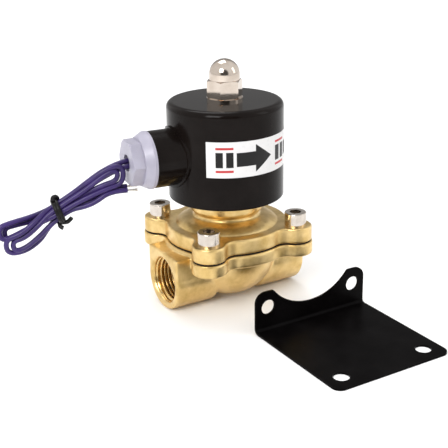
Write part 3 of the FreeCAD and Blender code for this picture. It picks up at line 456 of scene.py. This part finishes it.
LEAD = plastic(
    "lead_insulation",
    (0.044, 0.022, 0.140),
    (0.024, 0.012, 0.080),
    0.32,
    Specular_IOR_Level=0.36,
)
TIE = plastic(
    "tie_plastic",
    (0.006, 0.005, 0.005),
    (0.004, 0.004, 0.004),
    0.34,
    Specular_IOR_Level=0.22,
)
TINNED = metal("tinned_copper", (0.78, 0.75, 0.70), (0.62, 0.57, 0.50), 0.26)

LOOKS = {
    "forged_brass": FORGED,
    "turned_brass": TURNED,
    "black_rubber": RUBBER,
    "nickel_screw": SCREW_NICKEL,
    "nickel_nut": NUT_NICKEL,
    "stainless": STAINLESS,
    "magnet_steel": MAGNET_STEEL,
    "copper": COPPER,
    "black_paint": BLACK_PAINT,
    "yoke_zinc": ZINC,
    "bobbin_plastic": BOBBIN,
    "resin": RESIN,
    "white_nylon": NYLON,
    "label_film": FILM,
    "bracket_coating": BRACKET,
    "lead_insulation": LEAD,
    "tie_plastic": TIE,
    "tinned_copper": TINNED,
}


def dress(thing, look):
    """Gives a piece its material."""
    thing.data.materials.clear()
    thing.data.materials.append(look)


for part in frame["record"]["subparts"]:
    dress(NODES[part["node"]], LOOKS[part["material_slot"]])
for piece in (lead_a, lead_b):
    dress(piece, LEAD)
for piece in (tip_a, tip_b):
    dress(piece, TINNED)
dress(tie, TIE)


def soften(node, voxel, passes):
    """Rounds a forging's edges, as its die leaves them. The voxel is in millimetres."""
    grid = NODES[node].modifiers.new("grid", "REMESH")
    grid.mode = "VOXEL"
    grid.voxel_size = voxel * MM
    grid.use_smooth_shade = True
    smooth = NODES[node].modifiers.new("smooth", "SMOOTH")
    smooth.factor = 0.5
    smooth.iterations = passes


soften("valve_body", 0.5, 4)
soften("bonnet", 0.4, 4)

# ---------------------------------------------------------------- port threads

PORT_HEIGHT = 13.8 * MM
THREAD_ROOT = 10.6 * MM
THREAD_CREST = 9.45 * MM
THREAD_PITCH = 1.814 * MM
THREAD_START = 33.2 * MM
THREAD_END = 20.4 * MM
SLEEVE_RADIUS = 10.75 * MM
THREAD_COLUMNS = 96
THREAD_ROWS = 150
LEAD_IN_PITCHES = 1.6
LEAD_IN_START = 0.15
RIDGE_TOP = 1.25
RIDGE_SLOPE = 2.9


def finished(name, mesh):
    """An object with the closed mesh that was built, its faces turned outwards."""
    bmesh.ops.recalc_face_normals(mesh, faces=mesh.faces)
    data = bpy.data.meshes.new(name)
    mesh.to_mesh(data)
    mesh.free()
    return link(bpy.data.objects.new(name, data))


def thread_ring(mesh, side, x, radius_at):
    """A ring of vertices round a port's axis, with a radius for each share of a turn."""
    ring = []
    for column in range(THREAD_COLUMNS):
        turn = column / THREAD_COLUMNS
        radius = radius_at(turn)
        angle = math.tau * turn * side
        place = Vector((side * x, radius * math.cos(angle), radius * math.sin(angle)))
        ring.append(mesh.verts.new(place + Vector((0.0, 0.0, PORT_HEIGHT))))
    return ring


def thread(name, side):
    """A port's helical thread: a closed sleeve whose inner wall carries the ridges."""
    mesh = bmesh.new()
    rows = []
    for row in range(THREAD_ROWS + 1):
        x = THREAD_START + (THREAD_END - THREAD_START) * row / THREAD_ROWS
        depth = THREAD_START - x
        lead_in = min(1.0, depth / (LEAD_IN_PITCHES * THREAD_PITCH) + LEAD_IN_START)

        def inner(turn):
            phase = (depth / THREAD_PITCH + turn) % 1.0
            ridge = min(1.0, max(0.0, RIDGE_TOP - RIDGE_SLOPE * abs(phase - 0.5)))
            return THREAD_ROOT - (THREAD_ROOT - THREAD_CREST) * ridge * lead_in

        rows.append(thread_ring(mesh, side, x, inner))
    for x in (THREAD_END, THREAD_START):
        rows.append(thread_ring(mesh, side, x, lambda turn: SLEEVE_RADIUS))
    for first, second in zip(rows, rows[1:] + rows[:1]):
        for column in range(THREAD_COLUMNS):
            after = (column + 1) % THREAD_COLUMNS
            corners = (first[column], first[after], second[after], second[column])
            mesh.faces.new(corners)
    piece = finished(name, mesh)
    piece.data.polygons.foreach_set("use_smooth", [True] * len(piece.data.polygons))
    return piece


for name, side in (("inlet_thread", -1), ("outlet_thread", 1)):
    piece = thread(name, side)
    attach(piece, "base")
    dress(piece, TURNED)

# ---------------------------------------------------------------- label print

LABEL_RADIUS = 26.65 * MM
LABEL_LEFT = math.radians(-139.5)
LABEL_MIDDLE = 73.2
INK_BELOW = 0.01 * MM
INK_ABOVE = 0.03 * MM
CUT_SPACING = 0.5
CUTS = 130


def printed(name, shapes, look):
    """Flat shapes wrapped round the label as a thin film of ink. A shape is a list of corners in
    millimetres, along the label from its left end and up from its middle line."""
    mesh = bmesh.new()
    low = LABEL_RADIUS - INK_BELOW
    high = LABEL_RADIUS + INK_ABOVE
    for corners in shapes:
        flat = [mesh.verts.new((x, y, 0.0)) for x, y in corners]
        mesh.faces.new(flat)
    for cut in range(1, CUTS):
        bmesh.ops.bisect_plane(
            mesh,
            geom=mesh.verts[:] + mesh.edges[:] + mesh.faces[:],
            plane_co=(CUT_SPACING * cut, 0.0, 0.0),
            plane_no=(1.0, 0.0, 0.0),
        )
    made = bmesh.ops.extrude_face_region(mesh, geom=mesh.faces[:])
    for item in made["geom"]:
        if isinstance(item, bmesh.types.BMVert):
            item.co.z = 1.0
    for vertex in mesh.verts:
        radius = high if vertex.co.z > 0.5 else low
        angle = LABEL_LEFT + vertex.co.x * MM / LABEL_RADIUS
        height = (LABEL_MIDDLE + vertex.co.y) * MM
        vertex.co = (radius * math.cos(angle), radius * math.sin(angle), height)
    piece = finished(name, mesh)
    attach(piece, "coil_group")
    dress(piece, look)
    return piece


def arrow(left, length, half, head):
    """An arrow that points along the label."""
    neck = left + length - head
    return [
        (left, -half),
        (neck, -half),
        (neck, -half * 2.0),
        (left + length, 0.0),
        (neck, half * 2.0),
        (neck, half),
        (left, half),
    ]


def bar(left, right, low, high):
    return [(left, low), (right, low), (right, high), (left, high)]


# The heights of the bars and of the thin lines over and under them, and an arrow's length, half its
# shaft's width and its head's length.
BAR_HEIGHTS = (-3.4, 3.4)
LINE_OVER = (4.6, 5.6)
LINE_UNDER = (-5.6, -4.6)
ARROW_SIZES = (17.5, 3.1, 8.6)

printed(
    "label_arrows",
    [
        bar(4.2, 7.4, *BAR_HEIGHTS),
        bar(8.8, 12.0, *BAR_HEIGHTS),
        arrow(13.4, *ARROW_SIZES),
        bar(34.0, 37.2, *BAR_HEIGHTS),
        bar(38.6, 41.8, *BAR_HEIGHTS),
        arrow(43.2, *ARROW_SIZES),
    ],
    PRINT_BLACK,
)
printed(
    "label_lines",
    [
        bar(4.2, 12.0, *LINE_OVER),
        bar(4.2, 12.0, *LINE_UNDER),
        bar(34.0, 41.8, *LINE_OVER),
        bar(34.0, 41.8, *LINE_UNDER),
    ],
    PRINT_RED,
)

# ---------------------------------------------------------------- soft and springy inner pieces


def stand_in(node, body):
    """A copy of a node that rises with its body, while the node itself is hidden."""
    copy = link(bpy.data.objects.new(node + "_flexing", NODES[node].data.copy()))
    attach(copy, body)
    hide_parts(node)
    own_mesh(copy)
    return copy


spring = stand_in("plunger_spring", "plunger_group")
web = stand_in("diaphragm_web", "diaphragm_group")

# ---------------------------------------------------------------- floor, light and world

FLOOR_HALF = 4.0
FLOOR_DARK = (0.93, 0.93, 0.93)
FLOOR_LIGHT = (0.95, 0.95, 0.95)


def make_stage():
    """A pale floor under a soft, bright studio."""
    low, high = -FLOOR_HALF, FLOOR_HALF
    corners = [(low, low, 0), (high, low, 0), (high, high, 0), (low, high, 0)]
    data = bpy.data.meshes.new("floor")
    data.from_pydata(corners, [], [(0, 1, 2, 3)])
    floor = link(bpy.data.objects.new("floor", data))
    look = Look("floor_paper", Roughness=0.75, Specular_IOR_Level=0.2)
    cloud = look.noise(220.0, 2.0)
    look.colour(look.ramp(cloud, (NOISE_LOW, FLOOR_DARK), (NOISE_HIGH, FLOOR_LIGHT)))
    dress(floor, look.material)


AIM = (0.0, 0.0, 0.05)


def softbox(name, place, size, power):
    """A white area light that looks at the foot of the valve."""
    data = bpy.data.lights.new(name, "AREA")
    data.shape = "RECTANGLE"
    data.size, data.size_y = size
    data.energy = power
    light = link(bpy.data.objects.new(name, data))
    way = Vector(AIM) - Vector(place)
    turn = way.to_track_quat("-Z", "Y").to_matrix().to_4x4()
    light.matrix_world = Matrix.Translation(place) @ turn


# A wall's direction, the cosines of its edge and of its even middle, and its brightness.
WALLS = [
    ((-0.50, -0.83, 0.22), 0.80, 0.93, 0.10),
    ((0.48, 0.80, 0.36), 0.78, 0.93, 0.42),
]


def make_lights():
    """Two softboxes in front, one above and behind, and a white room with a dark wall in front and a
    grey one behind."""
    softbox("key", (-1.1, -0.75, 1.0), (0.7, 0.7), 15.0)
    softbox("fill", (1.1, -0.9, 0.7), (0.5, 0.9), 2.0)
    softbox("top", (0.1, 0.7, 1.6), (0.9, 0.9), 9.0)
    world = bpy.data.worlds.new("studio")
    bpy.context.scene.world = world
    world.use_nodes = True
    nodes, links = world.node_tree.nodes, world.node_tree.links
    background = nodes["Background"]
    background.inputs["Color"].default_value = (1.0, 1.0, 1.0, 1.0)
    direction = nodes.new("ShaderNodeTexCoord").outputs["Generated"]
    strengths = []
    for way, edge, middle, strength in WALLS:
        facing = nodes.new("ShaderNodeVectorMath")
        facing.operation = "DOT_PRODUCT"
        facing.inputs[1].default_value = Vector(way).normalized()
        links.new(direction, facing.inputs[0])
        wall = nodes.new("ShaderNodeMapRange")
        wall.interpolation_type = "SMOOTHSTEP"
        wall.inputs["From Min"].default_value = edge
        wall.inputs["From Max"].default_value = middle
        wall.inputs["To Min"].default_value = 1.0
        wall.inputs["To Max"].default_value = strength
        links.new(facing.outputs["Value"], wall.inputs["Value"])
        strengths.append(wall.outputs["Result"])
    both = nodes.new("ShaderNodeMath")
    both.operation = "MULTIPLY"
    links.new(strengths[0], both.inputs[0])
    links.new(strengths[1], both.inputs[1])
    links.new(both.outputs["Value"], background.inputs["Strength"])
    bpy.context.scene.view_settings.view_transform = "Standard"


make_stage()
make_lights()
